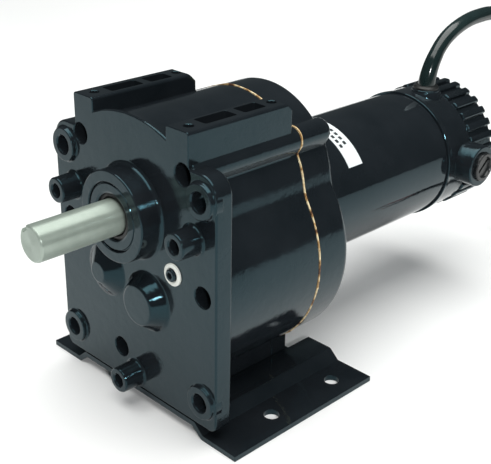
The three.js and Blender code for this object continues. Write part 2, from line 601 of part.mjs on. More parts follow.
function endTurns(y0, y1) {
  const soft = (y1 - y0) / 4;
  return turned([
    [7, y0], [23, y0], [28, y0 + soft], [28, y1 - soft], [24, y1], [7, y1], [7, y0],
  ], MOTOR, 20);
}

function commutator() {
  const { r, y0, y1 } = COMMUTATOR;
  const bore = MOTOR_SHAFT_R + HOLE_GAP;
  return turned([
    [bore, y0], [r + 2, y0], [r + 2, y0 + 2], [r, y0 + 2.4], [r, y1], [bore, y1], [bore, y0],
  ], MOTOR, 20);
}
add('motor_shaft', rod(MOTOR_SHAFT_R, 61, 268.6, MOTOR, 16), steel);
add('motor_pinion', pinion(STAGES[0], MOTOR, motorPhase, MOTOR_SHAFT_R + SLIP, 62, 73), steel);
add('armature_stack', armatureStack(), darkSteel);
add('winding_front', endTurns(117, 131.9), copper);
add('winding_rear', endTurns(201.1, 219), copper);
add('commutator', commutator(), copper);

// ---- Supply cable: grommet in the end bell, jacketed cable, and its two stripped leads ----
const CABLE_ROUTE = [
  [6, 241, 12], [6, 241, 16.6], [6, 242, 25.3], [6, 245, 33.5], [6, 249.7, 40.8], [6, 256, 46.9],
  [6, 263.5, 51.3], [6, 273.5, 54.9], [6, 283.9, 57.1], [6, 294.5, 57.9], [6, 307, 57.9],
  [6, 320, 55.8], [6, 331.7, 49.9], [6, 341, 40.6], [6, 346.9, 28.9], [6, 349, 15.9],
  [6, 349, -11.9], [6, 349, -39.6], [6, 349, -67.4], [8, 349, -80.1], [13.8, 349, -91.5],
  [22.9, 349, -100.6], [34.3, 349, -106.4], [47, 349, -108.4], [59.7, 347, -108.4],
  [71.1, 341.2, -108.4], [80.2, 332.1, -108.4], [86, 320.7, -108.4], [88, 308, -108.4],
  [88, 298, -108.4],
];
const LEAD_ROUTES = {
  lead_positive: [[90.3, 297.6, -108.4], [91, 289, -109.5], [94, 277, -111.6], [95, 267, -111.6], [93, 257, -111.6]],
  lead_negative: [[85.7, 297.6, -108.4], [85, 289, -109.5], [82.5, 278, -111.6], [84, 267, -111.6], [83, 259, -111.6]],
};
const toVectors = (route) => route.map((point) => new THREE.Vector3(...point));

function grommet() {
  const { x, y } = CABLE_EXIT;
  const bore = CABLE_R + 0.45;
  return upright(turned([
    [bore, 8], [5.9, 8], [5.9, 18.9], [8.2, 18.9], [8.2, 20.2], [6.8, 21], [bore, 21], [bore, 8],
  ], OUT, 14), x, y);
}
add('cable_grommet', grommet(), rubber);
add('supply_cable', tube(toVectors(CABLE_ROUTE), CABLE_R, 44, 8), rubber);
Object.entries(LEAD_ROUTES).forEach(([name, route]) => {
  add(name, tube(toVectors(route), LEAD_R, 8, 6), name === 'lead_positive' ? paint(0x9c1c1c, 0.5, 0) : rubber);
});

export default part;
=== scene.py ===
"""Looks of a parallel-shaft geared DC motor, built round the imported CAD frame.

Shapes are drawn in the gear frame: millimetres, Y = 0 on the machined front face, X = Z = 0 on
the output shaft's axis, +Y towards the motor. settle() scales them to metres and moves them into
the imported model's frame.
"""
import math

import bmesh
import bpy
from mathutils import Matrix, Vector


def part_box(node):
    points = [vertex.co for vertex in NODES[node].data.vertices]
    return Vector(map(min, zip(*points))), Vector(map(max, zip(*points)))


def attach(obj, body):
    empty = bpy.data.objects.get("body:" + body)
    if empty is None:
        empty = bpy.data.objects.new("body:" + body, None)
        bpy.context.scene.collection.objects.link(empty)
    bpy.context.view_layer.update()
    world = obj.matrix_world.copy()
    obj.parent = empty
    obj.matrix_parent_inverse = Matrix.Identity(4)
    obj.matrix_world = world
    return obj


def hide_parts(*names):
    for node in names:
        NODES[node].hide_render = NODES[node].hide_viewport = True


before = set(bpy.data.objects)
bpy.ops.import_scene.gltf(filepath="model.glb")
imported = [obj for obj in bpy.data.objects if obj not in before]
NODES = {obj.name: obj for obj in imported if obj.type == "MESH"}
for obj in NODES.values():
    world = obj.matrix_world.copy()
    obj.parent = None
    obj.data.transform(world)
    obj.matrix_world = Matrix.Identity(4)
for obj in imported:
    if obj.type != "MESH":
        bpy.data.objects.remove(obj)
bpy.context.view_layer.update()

# ---- Sizes in millimetres, the same as the CAD's ----
MM = 0.001
BOSS_Y = -12.6
SHAFT_R = 9.525
SHAFT_TIP_Y = -59.5
FLOOR_Z = -113.5
FACE_HALF_W = 63.7
FACE_BOTTOM_Z = -104.85
FACE_SHOULDER_Z = 35.0
FACE_THICK = 11.0
CORNER_RING_Y = -2.4
CASE_R = 63.7
CASE_Z = -36.0
TOP_R = 50.5
RIDGE_R = 7.2
WALL = 5.0
POST_R = 8.0
FOOT_HALF_W = 30.0
FOOT_TOP_Z = -60.0
SEAM_Y = 75.0
GASKET_T = 0.8
COVER_REAR_Y = 100.0
CAVITY_Y = 12.0
COVER_WALL_Y = 90.0
RAIL_TOP_Z = 52.7
CROWN_R = 75.0
CROWN_HALF_W = 30.5
CROWN_ROOT_Z = 20.0
RAIL_X = (28.5, 44.5)
RAIL_POCKETS_Y = ((15, 36), (41, 56))
RAIL_TAPPED = (36.5, (7.5, 63))
RAIL_REAR_Y = 71.0
BUSH_R = 7.0
BUSH_BOSS_R = 11.5
BASE_T = 3.0
BASE_WEB_Z = -105.0
BASE_HALF_W = 78.0
BASE_LEN = 108.0
BASE_BEND_R = 1.5
BASE_SLOPE_X = (47.5, 52.5)
CAN_R = 40.4
CAN_WALL = 2.6
CAN_REAR_Y = 223.5
BELL_R = 41.2
BELL_REAR_Y = 274.0
BRUSH_Y = 245.0
CABLE_R = 4.75
CABLE_BORE_R = 6.2
CABLE_EXIT = (6.0, 241.0)
LEAD_R = 1.5
SEAL_R = 18.4
BEARING_R = 20.64
MOTOR_BEARING_R = 11.05
BOLT_HOLE_R = 2.3
BASE_SCREW_HOLE_R = 2.5
LABEL_Y = (132, 144)
LABEL_TURN = (34, 92)  # degrees round the can
SKIN = 0.02  # what keeps two touching shapes from sharing a face

OUT = (0.0, 0.0)
MOTOR = (0.0, -24.3)
FIRST = (12.304, -47.172)
SECOND = (-22.209, -41.352)
CORNER_HOLES = [(-53.65, 21.74), (53.65, 21.74), (-53.65, -89.28), (53.65, -89.28)]
CASE_SCREWS = [(-40.2, 31.0), (40.2, 31.0), (54.0, -29.0), (-53.0, -20.0), (-12.2, -85.5)]
STANDOFFS = [(-47.6, 0.0), (47.6, 0.0), (0.0, -96.4)]
FILL_PLUG = (32.6, -24.2)
BASE_SCREWS = [(-21, 22), (21, 22), (-21, 64), (21, 64)]
BASE_HOLES = [(-65, 40), (65, 40), (-65, 89), (65, 89)]
BOLT_CIRCLE_R = 33.5
THROUGH_BOLTS = [
    (BOLT_CIRCLE_R * math.cos(math.radians(a)), MOTOR[1] + BOLT_CIRCLE_R * math.sin(math.radians(a)))
    for a in (108, 288)
]
KEY = {"width": 4.76, "sink": 2.6, "length": 32.0, "turn": 128.0}

# The gear frame's origin in the row frame, in metres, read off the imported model.
front_low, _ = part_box("front_housing")
gear_low, gear_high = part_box("output_gear")
ORIGIN = Vector((0.0, front_low.y - BOSS_Y * MM, (gear_low.z + gear_high.z) / 2))


def point(x, y, z):
    """A gear-frame point in the row frame, in metres."""
    return Vector((x, y, z)) * MM + ORIGIN


# ---- Camera ----
LENS, SENSOR_W = 72.1, 36.0
YAW, PITCH, ROLL = 45.0, 24.72, 1.0
CAMERA_AT = (364.86, -282.13, 199.74)


def make_camera():
    data = bpy.data.cameras.new("camera")
    data.lens = LENS
    data.sensor_width = SENSOR_W
    camera = bpy.data.objects.new("camera", data)
    bpy.context.scene.collection.objects.link(camera)
    yaw, pitch, roll = (math.radians(a) for a in (YAW, PITCH, ROLL))
    level = math.cos(pitch)
    forward = Vector((-math.sin(yaw) * level, math.cos(yaw) * level, -math.sin(pitch)))
    right = forward.cross(Vector((0, 0, 1))).normalized()
    up = right.cross(forward)
    rolled_right = right * math.cos(roll) + up * math.sin(roll)
    rolled_up = up * math.cos(roll) - right * math.sin(roll)
    place = Matrix((rolled_right, rolled_up, -forward)).transposed().to_4x4()
    place.translation = point(*CAMERA_AT)
    camera.matrix_world = place
    bpy.context.scene.camera = camera


make_camera()


# ---- Node helpers ----
class Nodes:
    """A material's node tree, with short ways to add and join nodes."""

    def __init__(self, name):
        self.material = bpy.data.materials.new(name)
        self.material.use_nodes = True
        self.tree = self.material.node_tree
        self.shader = self.tree.nodes["Principled BSDF"]
        self.coordinates = self.tree.nodes.new("ShaderNodeTexCoord").outputs["Object"]

    def add(self, kind, **values):
        node = self.tree.nodes.new(kind)
        for key, value in values.items():
            setattr(node, key, value)
        return node

    def join(self, output, target):
        self.tree.links.new(output, target)

    def noise(self, scale, detail=3.0, roughness=0.5, stretch=None):
        node = self.add("ShaderNodeTexNoise")
        node.inputs["Scale"].default_value = scale
        node.inputs["Detail"].default_value = detail
        node.inputs["Roughness"].default_value = roughness
        source = self.coordinates
        if stretch:
            mapping = self.add("ShaderNodeMapping")
            mapping.inputs["Scale"].default_value = stretch
            self.join(source, mapping.inputs["Vector"])
            source = mapping.outputs["Vector"]
        self.join(source, node.inputs["Vector"])
        return node.outputs["Fac"]

    def ramp(self, fac, stops):
        node = self.add("ShaderNodeValToRGB")
        ramp = node.color_ramp
        while len(ramp.elements) < len(stops):
            ramp.elements.new(0.5)
        for element, (place, color) in zip(ramp.elements, stops):
            element.position = place
            element.color = (*color, 1.0)
        self.join(fac, node.inputs["Fac"])
        return node.outputs["Color"]

    def spread(self, fac, low, high, start=0.3, end=0.7):
        """low where fac is start or less, high where it is end or more."""
        node = self.add("ShaderNodeMapRange")
        limits = {"From Min": start, "From Max": end, "To Min": low, "To Max": high}
        for key, value in limits.items():
            node.inputs[key].default_value = value
        self.join(fac, node.inputs["Value"])
        return node.outputs["Result"]

    def mix(self, fac, a, b):
        node = self.add("ShaderNodeMix", data_type="RGBA")
        self.join(fac, node.inputs["Factor"])
        for value, socket in ((a, node.inputs[6]), (b, node.inputs[7])):
            if isinstance(value, tuple):
                socket.default_value = (*value, 1.0)
            else:
                self.join(value, socket)
        return node.outputs[2]

    def bump(self, height, distance, after=None):
        node = self.add("ShaderNodeBump")
        node.inputs["Distance"].default_value = distance
        self.join(height, node.inputs["Height"])
        if after:
            self.join(after, node.inputs["Normal"])
        return node.outputs["Normal"]

    def set(self, **values):
        """Sets the shader's sockets by name: a number or a colour as it is, an output by a link."""
        for key, value in values.items():
            name = key.replace("_", " ").title().replace("Ior", "IOR")
            socket = self.shader.inputs[name]
            if isinstance(value, (int, float)):
                socket.default_value = value
            elif isinstance(value, tuple):
                socket.default_value = (*value, 1.0)
            else:
                self.join(value, socket)


# ---- Materials ----
PAINT_IOR = 1.42
PAINT_TINT = (0.38, 0.84, 1.0, 1.0)
PAINT_EDGE = 4e-4  # the radius that shading gives an edge, in metres


def gloss_paint(name, peel, cast):
    """Gloss black enamel. peel and cast are the heights of its orange peel and of the grain
    under it, in metres."""
    n = Nodes(name)
    cloud = n.noise(35.0, 4.0)
    speck = n.noise(2600.0, 2.0, 0.7)
    base = n.ramp(cloud, [(0.3, (0.0075, 0.0098, 0.012)), (0.7, (0.0125, 0.0152, 0.0182))])
    dust = n.spread(speck, 0.0, 0.35, 0.66, 0.78)
    dusty = n.mix(dust, base, (0.03, 0.036, 0.038))
    n.set(base_color=dusty, roughness=n.spread(n.noise(90.0, 5.0), 0.035, 0.1), ior=PAINT_IOR)
    n.shader.inputs["Specular Tint"].default_value = PAINT_TINT
    rounded = n.add("ShaderNodeBevel", samples=4)
    rounded.inputs["Radius"].default_value = PAINT_EDGE
    wave = n.bump(n.noise(210.0, 2.0), peel, after=rounded.outputs["Normal"])
    n.set(normal=n.bump(n.noise(1500.0, 3.0, 0.6), cast, after=wave))
    return n.material


def metal(name, light, dark, roughness, grain_stretch=(1, 1, 1), grain_scale=900.0, height=2e-6,
          metallic=1.0, painted_shade_reach=0.0):
    """Steel, zinc, bronze or copper with a machined grain. Corners and recesses nearer than
    the last argument's metres get painted shade, a darker base colour."""
    n = Nodes(name)
    tone = n.noise(120.0, 4.0)
    lines = n.noise(grain_scale, 3.0, 0.6, stretch=grain_stretch)
    color = n.ramp(tone, [(0.3, dark), (0.7, light)])
    if painted_shade_reach:
        # Painted shade: ambient occlusion darkens the base colour in corners and recesses, such as the
        # keyway.
        hollow = n.add("ShaderNodeAmbientOcclusion", samples=6)
        hollow.inputs["Distance"].default_value = painted_shade_reach
        painted_shade = tuple(0.06 * c for c in dark)
        color = n.mix(n.spread(hollow.outputs["AO"], 0.0, 1.0, 0.2, 0.75), painted_shade, color)
    n.set(base_color=color, metallic=metallic)
    n.set(roughness=n.spread(lines, roughness * 0.85, roughness * 1.2))
    n.set(normal=n.bump(lines, height))
    return n.material


QUARTER_TURN = 0.25


def turned_in_a_lathe(material, amount):
    """Fine grooves round the Y axis, which stretch a highlight along it."""
    tree = material.node_tree
    shader = next(node for node in tree.nodes if node.type == "BSDF_PRINCIPLED")
    shader.inputs["Anisotropic"].default_value = amount
    shader.inputs["Anisotropic Rotation"].default_value = QUARTER_TURN
    grooves = tree.nodes.new("ShaderNodeTangent")
    grooves.direction_type, grooves.axis = "RADIAL", "Y"
    tree.links.new(grooves.outputs["Tangent"], shader.inputs["Tangent"])


def plain(name, light, dark, roughness, scale, height):
    """A non-metal with a mottled colour and a fine moulded or pressed grain."""
    n = Nodes(name)
    n.set(base_color=n.ramp(n.noise(scale * 0.2, 4.0), [(0.3, dark), (0.7, light)]))
    n.set(roughness=n.spread(n.noise(scale, 3.0), roughness * 0.85, roughness * 1.15))
    n.set(normal=n.bump(n.noise(scale * 3, 3.0, 0.6), height))
    return n.material


def windings():
    """Enamelled copper wire laid in turns round the stack."""
    n = Nodes("winding_copper")
    wave = n.add("ShaderNodeTexWave", bands_direction="Y")
    wave.inputs["Scale"].default_value = 420.0
    wave.inputs["Distortion"].default_value = 2.5
    n.join(n.coordinates, wave.inputs["Vector"])
    turns = wave.outputs["Fac"]
    copper = n.ramp(turns, [(0.2, (0.16, 0.045, 0.02)), (0.8, (0.5, 0.17, 0.07))])
    n.set(base_color=copper, metallic=0.8, roughness=0.32, normal=n.bump(turns, 4e-4))
    return n.material


def laminations():
    """Stamped sheets stacked along the shaft."""
    n = Nodes("lamination_steel")
    wave = n.add("ShaderNodeTexWave", bands_direction="Y")
    wave.inputs["Scale"].default_value = 310.0
    n.join(n.coordinates, wave.inputs["Vector"])
    sheets = wave.outputs["Fac"]
    steel = n.ramp(sheets, [(0.1, (0.05, 0.05, 0.055)), (0.4, (0.3, 0.3, 0.31))])
    n.set(base_color=steel, metallic=0.9, roughness=0.42, normal=n.bump(sheets, 6e-5))
    return n.material


def gasket_fibre():
    """Tan sealing paper with darker stretches, and cream stretches that are painted highlight."""
    n = Nodes("gasket_fibre")
    # Painted highlight: the cream end of this noise ramp stands in for light on the squeezed-out bead.
    tone = n.ramp(n.noise(260.0, 5.0), [
        (0.38, (0.09, 0.032, 0.014)), (0.46, (0.45, 0.27, 0.1)), (0.6, (0.85, 0.72, 0.46)),
    ])
    n.set(base_color=tone, roughness=0.55, normal=n.bump(n.noise(1800.0, 3.0), 8e-5))
    return n.material


CASTING = gloss_paint("cast_black_enamel", 1.1e-4, 2.5e-5)
TUBE = gloss_paint("rolled_black_enamel", 5e-5, 5e-6)
SHEET = gloss_paint("pressed_black_enamel", 8e-5, 1e-5)
SHAFT_STEEL = metal("ground_shaft_steel", (0.36, 0.42, 0.37), (0.3, 0.355, 0.31), 0.36, (1, 12, 1),
                    700.0, metallic=0.45, painted_shade_reach=0.003)
turned_in_a_lathe(SHAFT_STEEL, 0.8)
GROUND = metal("ground_bearing_steel", (0.6, 0.6, 0.6), (0.5, 0.5, 0.5), 0.25)
GEAR_STEEL = metal("hobbed_gear_steel", (0.4, 0.41, 0.42), (0.24, 0.25, 0.26), 0.35, (1, 6, 1))
OXIDE = metal("black_oxide_steel", (0.045, 0.05, 0.055), (0.02, 0.024, 0.028), 0.38)
ZINC = metal("zinc_plated_steel", (0.58, 0.58, 0.54), (0.42, 0.43, 0.42), 0.32)
BRONZE = metal("sintered_bronze", (0.5, 0.31, 0.13), (0.3, 0.18, 0.08), 0.45, height=2e-5)
SEGMENT_COPPER = metal("commutator_copper", (0.7, 0.33, 0.2), (0.5, 0.2, 0.12), 0.28, (1, 8, 1))
FERRITE = plain("pressed_ferrite", (0.05, 0.05, 0.052), (0.03, 0.03, 0.032), 0.6, 500.0, 4e-5)
CARBON = plain("pressed_carbon", (0.03, 0.03, 0.03), (0.014, 0.014, 0.015), 0.55, 700.0, 2e-5)
NYLON = plain("natural_nylon", (0.82, 0.83, 0.78), (0.7, 0.72, 0.66), 0.42, 500.0, 1e-5)
CAP = plain("moulded_brush_cap", (0.012, 0.014, 0.015), (0.007, 0.008, 0.009), 0.28, 300.0, 1.5e-5)
SEAL = gloss_paint("painted_oil_seal", 8e-5, 2e-5)
LIP = plain("seal_lip_rubber", (0.006, 0.007, 0.007), (0.003, 0.004, 0.004), 0.5, 500.0, 3e-5)
JACKET = plain("cable_jacket", (0.014, 0.027, 0.027), (0.008, 0.016, 0.016), 0.13, 200.0, 1.5e-5)
RED_WIRE = plain("red_wire_insulation", (0.5, 0.02, 0.02), (0.36, 0.012, 0.012), 0.35, 400.0, 1e-5)
BLACK_WIRE = plain("black_wire_insulation", (0.016, 0.016, 0.017), (0.008, 0.008, 0.009), 0.35,
                   400.0, 1e-5)
FILM = plain("label_film", (0.78, 0.83, 0.84), (0.7, 0.76, 0.78), 0.35, 300.0, 1e-5)
INK = plain("label_ink", (0.02, 0.025, 0.03), (0.01, 0.012, 0.015), 0.45, 600.0, 1e-5)
COPPER_WIRE = windings()
LAMINATED = laminations()
FIBRE = gasket_fibre()


# ---- Mesh helpers, all in the gear frame and in millimetres ----
def new_object(name, bm):
    bmesh.ops.recalc_face_normals(bm, faces=bm.faces)
    mesh = bpy.data.meshes.new(name)
    bm.to_mesh(mesh)
    bm.free()
    obj = bpy.data.objects.new(name, mesh)
    bpy.context.scene.collection.objects.link(obj)
    return obj


def arc(centre, radius, start, end, steps=6):
    """Points round centre from angle start to end, in degrees."""
    angles = [math.radians(start + (end - start) * i / steps) for i in range(steps + 1)]
    return [(centre[0] + radius * math.cos(a), centre[1] + radius * math.sin(a)) for a in angles]


def turned(profile, at=OUT, steps=96):
    """A profile of (radius, y) turned about the Y axis through at = (x, z). It closes on itself
    or ends on the axis."""
    bm = bmesh.new()
    closed = profile[0] == profile[-1]
    points = profile[:-1] if closed else profile
    turns = [2 * math.pi * i / steps for i in range(steps)]
    rings = []
    for radius, y in points:
        if radius < 1e-6:
            rings.append([bm.verts.new((at[0], y, at[1]))] * steps)
            continue
        rings.append([
            bm.verts.new((at[0] + radius * math.cos(a), y, at[1] + radius * math.sin(a))) for a in turns
        ])
    pairs = list(zip(rings, rings[1:])) + ([(rings[-1], rings[0])] if closed else [])
    for low, high in pairs:
        for i in range(steps):
            j = (i + 1) % steps
            corners = list(dict.fromkeys([low[i], low[j], high[j], high[i]]))
            if len(corners) > 2:
                bm.faces.new(corners)
    return new_object("turned", bm)


def rod(radius, y0, y1, at=OUT, steps=64):
    return turned([(0, y0), (radius, y0), (radius, y1), (0, y1)], at, steps)


def lofted(layers):
    """A closed solid through layers of (y, outline), whose outlines have equally many (x, z) points."""
    bm = bmesh.new()
    rows = [[bm.verts.new((x, y, z)) for x, z in outline] for y, outline in layers]
    for low, high in zip(rows, rows[1:]):
        for i in range(len(low)):
            j = (i + 1) % len(low)
            bm.faces.new((low[i], low[j], high[j], high[i]))
    bm.faces.new(rows[0])
    bm.faces.new(rows[-1])
    return new_object("lofted", bm)


def softened(outline, y0, y1, front=0.8, back=0.8, steps=4):
    """outline(inset) pushed from y0 to y1, with its end edges rounded to the two radii."""
    layers = []
    for radius, base, way in ((front, y0, 1), (back, y1, -1)):
        turns = [math.pi / 2 * i / steps for i in range(steps + 1)]
        side = [
            (base + way * radius * (1 - math.sin(a)), outline(radius * (1 - math.cos(a)))) for a in turns
        ]
        layers += reversed(side) if way > 0 else side
    return lofted(layers)


def rounded_rect(x0, x1, z0, z1, radii, steps=6):
    """A rectangle's outline for softened(). The radii start at bottom left and go round by
    bottom right."""
    def outline(inset):
        a, b, c, d = x0 + inset, x1 - inset, z0 + inset, z1 - inset
        places = ((a, c, 180), (b, c, 270), (b, d, 0), (a, d, 90))
        corners = [(x, z, radius, start) for (x, z, start), radius in zip(places, radii)]
        points = []
        for x, z, radius, start in corners:
            r = max(radius - inset, 0.05)
            centre = (x + r if x == a else x - r, z + r if z == c else z - r)
            points += arc(centre, r, start, start + 90, steps)
        return points
    return outline


def block(x, y, z, edge=0.0):
    """A box between (low, high) on each axis, with its edges rounded by edge. Used to cut with."""
    bm = bmesh.new()
    bmesh.ops.create_cube(bm, size=1.0)
    for v in bm.verts:
        v.co = Vector([
            (low + high) / 2 + (high - low) * c for (low, high), c in zip((x, y, z), v.co)
        ])
    if edge:
        bmesh.ops.bevel(bm, geom=bm.edges[:], offset=edge, segments=3, profile=0.5, affect="EDGES")
    return new_object("block", bm)


def moved(obj, turn=(0, 0, 0), shift=(0, 0, 0)):
    """obj's mesh turned by degrees about X, Y and Z in that order, then shifted."""
    for axis, angle in zip("XYZ", turn):
        obj.data.transform(Matrix.Rotation(math.radians(angle), 4, axis))
    obj.data.transform(Matrix.Translation(shift))
    return obj


def upright(obj, x, y):
    """A piece turned about Y, stood up so that its Y runs along +Z."""
    return moved(obj, (90, 0, 0), (x, y, 0))


def sideways(obj, side, y=BRUSH_Y, z=MOTOR[1]):
    """A piece turned about Y, laid so that its Y runs along +X or -X."""
    return moved(obj, (0, 0, -90 * side), (0, y, z))


def combine(base, pieces, operation):
    """Applies the pieces to base one by one, and removes them."""
    for piece in pieces:
        modifier = base.modifiers.new("join", "BOOLEAN")
        modifier.operation = operation
        modifier.solver = "MANIFOLD"
        modifier.object = piece
    bpy.context.view_layer.update()
    evaluated = base.evaluated_get(bpy.context.evaluated_depsgraph_get())
    mesh = bpy.data.meshes.new_from_object(evaluated)
    base.modifiers.clear()
    base.data = mesh
    for piece in pieces:
        bpy.data.objects.remove(piece)
    return base


def joined(base, *pieces):
    return combine(base, pieces, "UNION")


def cut(base, *pieces):
    return combine(base, pieces, "DIFFERENCE")


def settle(obj, name, material, body, replaces=(), sharp=32.0, bevel=0.0):
    """Names a finished shape, scales it to the frame, and gives it its looks and its body."""
    obj.name = name
    obj.data.name = name
    obj.data.transform(Matrix.Translation(ORIGIN) @ Matrix.Scale(MM, 4))
    obj.data.materials.clear()
    obj.data.materials.append(material)
    obj.data.shade_smooth()
    obj.data.set_sharp_from_angle(angle=math.radians(sharp))
    if bevel:
        modifier = obj.modifiers.new("worn edge", "BEVEL")
        modifier.width = bevel * MM
        modifier.segments = 2
        modifier.limit_method = "ANGLE"
        modifier.angle_limit = math.radians(40)
    weighted = obj.modifiers.new("even shading", "WEIGHTED_NORMAL")
    weighted.mode = "FACE_AREA"
    weighted.weight = 90
    weighted.keep_sharp = True
    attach(obj, body)
    if replaces:
        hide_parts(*replaces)
    return obj


# ---- Supply cable, on the same route as its CAD solids ----
CABLE_ROUTE = [
    (6, 241, 12), (6, 241, 16.6), (6, 242, 25.3), (6, 245, 33.5), (6, 249.7, 40.8), (6, 256, 46.9),
    (6, 263.5, 51.3), (6, 273.5, 54.9), (6, 283.9, 57.1), (6, 294.5, 57.9), (6, 307, 57.9),
    (6, 320, 55.8), (6, 331.7, 49.9), (6, 341, 40.6), (6, 346.9, 28.9), (6, 349, 15.9),
    (6, 349, -11.9), (6, 349, -39.6), (6, 349, -67.4), (8, 349, -80.1), (13.8, 349, -91.5),
    (22.9, 349, -100.6), (34.3, 349, -106.4), (47, 349, -108.4), (59.7, 347, -108.4),
    (71.1, 341.2, -108.4), (80.2, 332.1, -108.4), (86, 320.7, -108.4), (88, 308, -108.4),
    (88, 298, -108.4),
]
LEAD_ROUTES = {
    "lead_positive": [
        (90.3, 297.6, -108.4), (91, 289, -109.5), (94, 277, -111.6), (95, 267, -111.6), (93, 257, -111.6),
    ],
    "lead_negative": [
        (85.7, 297.6, -108.4), (85, 289, -109.5), (82.5, 278, -111.6), (84, 267, -111.6), (83, 259, -111.6),
    ],
}
LEAD_LOOKS = {"lead_positive": (RED_WIRE, "lead_red"), "lead_negative": (BLACK_WIRE, "lead_black")}
STRIPPED = 8  # how many of a lead's last points its bare strand runs through
SLEEVE_WALL, SLEEVE_TAPER = 1.2, 0.19
STRAND_SHARE = 0.62


def smooth_line(route, per_span=6):
    """Centripetal Catmull-Rom points through the route, in the row frame and metres."""
    knots = [point(*p) for p in route]
    ends = [knots[0] * 2 - knots[1], *knots, knots[-1] * 2 - knots[-2]]
    line = []
    for a, b, c, d in zip(ends, ends[1:], ends[2:], ends[3:]):
        t0 = 0.0
        t1 = t0 + (b - a).length ** 0.5
        t2 = t1 + (c - b).length ** 0.5
        t3 = t2 + (d - c).length ** 0.5
        for i in range(per_span):
            t = t1 + (t2 - t1) * i / per_span
            ab = a * ((t1 - t) / (t1 - t0)) + b * ((t - t0) / (t1 - t0))
            bc = b * ((t2 - t) / (t2 - t1)) + c * ((t - t1) / (t2 - t1))
            cd = c * ((t3 - t) / (t3 - t2)) + d * ((t - t2) / (t3 - t2))
            abc = ab * ((t2 - t) / (t2 - t0)) + bc * ((t - t0) / (t2 - t0))
            bcd = bc * ((t3 - t) / (t3 - t1)) + cd * ((t - t1) / (t3 - t1))
            line.append(abc * ((t2 - t) / (t2 - t1)) + bcd * ((t - t1) / (t2 - t1)))
    return line + [knots[-1]]


def wire(name, line, radius, material, body, slot, replaces=(), taper=None):
    """A round curve along the line. taper gives the share of the radius at each point."""
    data = bpy.data.curves.new(name, "CURVE")
    data.dimensions = "3D"
    data.bevel_depth = radius * MM
    data.bevel_resolution = 6
    data.use_fill_caps = True
    spline = data.splines.new("POLY")
    spline.points.add(len(line) - 1)
    for i, (target, place) in enumerate(zip(spline.points, line)):
        target.co = (*place, 1.0)
        if taper:
            target.radius = taper(i / (len(line) - 1))
    spline.use_smooth = True
    obj = bpy.data.objects.new(name, data)
    bpy.context.scene.collection.objects.link(obj)
    obj.data.materials.append(material)
    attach(obj, body)
    if replaces:
        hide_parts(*replaces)
    return obj


def length_of(line):
    return sum((b - a).length for a, b in zip(line, line[1:]))


def make_cable():
    line = smooth_line(CABLE_ROUTE)
    cable = wire("cable_jacket_run", line, CABLE_R, JACKET, "frame", "cable_jacket", ["supply_cable"])
    sleeve_line = smooth_line(CABLE_ROUTE[1:5])
    sleeve = wire("strain_relief", sleeve_line, CABLE_R + SLEEVE_WALL, JACKET, "frame", "seal_rubber",
                  taper=lambda share: 1.0 - SLEEVE_TAPER * share)
    for name, (material, slot) in LEAD_LOOKS.items():
        lead = smooth_line(LEAD_ROUTES[name])
        covered, bare = lead[:1 - STRIPPED], lead[-STRIPPED:]
        wire(f"{name}_insulation", covered, LEAD_R, material, "frame", slot, [name])
        wire(f"{name}_strand", bare, LEAD_R * STRAND_SHARE, SEGMENT_COPPER, "frame", "copper")
    tuple(line[0])
    round(length_of(line), 3)


make_cable()


# ---- Gear case front half ----
def filleted_boss(at, radius, front, fillet, edge, draft, sink=4.0, steps=64):
    """A round boss that stands out of the face towards -Y, with a cast fillet at its foot."""
    root = radius + draft + fillet
    foot = arc((root, -fillet), fillet, 90, 180, 6)
    nose = arc((radius - edge, front + edge), edge, 0, -90, 4)
    return turned([(0, sink), (root, sink), *foot, *nose, (0, front)], at, steps)


def filleted_cone(at, base_r, front_r, front):
    """A cone that stands out of the face to front, with a soft nose and a flare at its foot."""
    lean = math.degrees(math.atan2(base_r - front_r, -front))
    nose_r, foot_r, sink = 2.2, 2.4, 4
    root = base_r + 1.7
    nose = arc((front_r - 1.6, front + nose_r), nose_r, -lean, -90, 7)
    foot = arc((root, -foot_r), foot_r, 90, 180 - lean, 7)
    return turned([(0, sink), (root, sink), *foot, *nose, (0, front)], at, 128)


def chamfered_hole(at, radius, mouth_y, depth_y, chamfer, steps=64):
    """What to cut for a blind hole from mouth_y to depth_y."""
    return turned([
        (0, mouth_y - 3), (radius + chamfer, mouth_y - 3), (radius + chamfer, mouth_y),
        (radius, mouth_y + chamfer), (radius, depth_y), (0, depth_y),
    ], at, steps)


def case_outline(count=540, blend=1.1, pull=0.2):
    """The case's section for softened(): two rounds and two screw ridges, run softly into
    each other. pull takes back most of what the blend adds."""
    middle_z = -24.0
    rounds = [((0, CASE_Z), CASE_R), (OUT, TOP_R), *[(at, RIDGE_R) for at in CASE_SCREWS[:2]]]

    def reach(angle, inset):
        """How far out from the middle the section goes at this angle."""
        ux, uz = math.cos(angle), math.sin(angle)
        exits = []
        for (x, z), radius in rounds:
            along = x * ux + (z - middle_z) * uz
            across = x * uz - (z - middle_z) * ux
            if abs(across) < radius - inset:
                exits.append(along + math.sqrt((radius - inset) ** 2 - across**2))
        peak = max(exits)
        return peak + blend * math.log(sum(math.exp((r - peak) / blend) for r in exits)) - pull

    def outline(inset):
        angles = [2 * math.pi * i / count for i in range(count)]
        rays = [(a, reach(a, inset)) for a in angles]
        return [(r * math.cos(a), middle_z + r * math.sin(a)) for a, r in rays]

    return outline


def screw_posts(y0, y1):
    return [rod(POST_R, y0, y1, at, 20) for at in CASE_SCREWS]


def cavity(y0, y1):
    """The room inside the case, which leaves a post round each case screw."""
    big = rod(CASE_R - WALL, y0, y1, (0, CASE_Z), 64)
    room = joined(big, rod(TOP_R - WALL, y0, y1, OUT, 64))
    return cut(room, *screw_posts(y0 - 1, y1 + 1))


